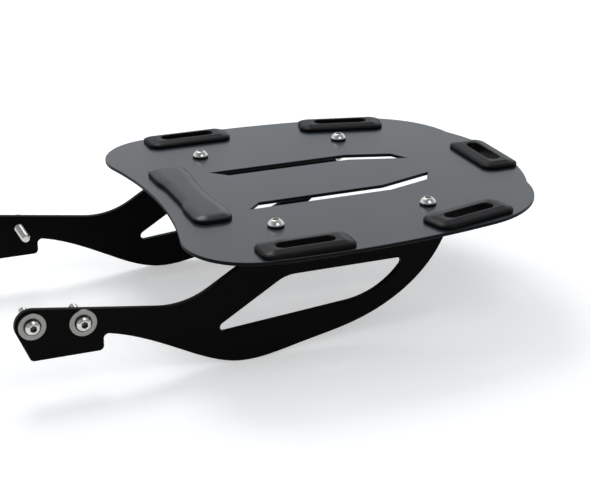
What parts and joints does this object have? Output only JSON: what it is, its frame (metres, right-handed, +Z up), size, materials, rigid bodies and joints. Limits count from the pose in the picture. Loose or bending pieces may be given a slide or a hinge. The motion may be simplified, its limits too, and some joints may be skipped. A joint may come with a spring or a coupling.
{
  "type": "motorcycle luggage rack",
  "caption": "Flat black steel luggage deck with slits and moulded rubber strap loops, carried on folded side brackets that bolt to a motorcycle's rear fender struts.",
  "frame": {"origin": "on the motorcycle's centre plane, midway between the left and right pairs of strut bolts", "axes": "+X to the rear of the motorcycle, +Y to its right-hand side, +Z up"},
  "size_m": [0.4774, 0.334, 0.112],
  "materials": {
    "black_coat": "satin powder coat",
    "moulded_rubber": "smooth moulded",
    "seal_rubber": "matt",
    "stainless": "bright"
  },
  "bodies": {
    "root": {"deck": "black_coat", "left_side_bracket": "black_coat", "right_side_bracket": "black_coat", "front_pad": "moulded_rubber", "front_left_strap_loop": "moulded_rubber", "front_right_strap_loop": "moulded_rubber", "rear_left_strap_loop": "moulded_rubber", "rear_right_strap_loop": "moulded_rubber", "rear_centre_strap_loop": "moulded_rubber", "left_deck_screws": "stainless", "left_seal_washers": "seal_rubber", "left_nut_washers": "stainless", "left_deck_nuts": "stainless", "left_strut_bolts": "stainless", "left_strut_washers": "stainless", "right_deck_screws": "stainless", "right_seal_washers": "seal_rubber", "right_nut_washers": "stainless", "right_deck_nuts": "stainless", "right_strut_bolts": "stainless", "right_strut_washers": "stainless"}
  },
  "joints": []
}
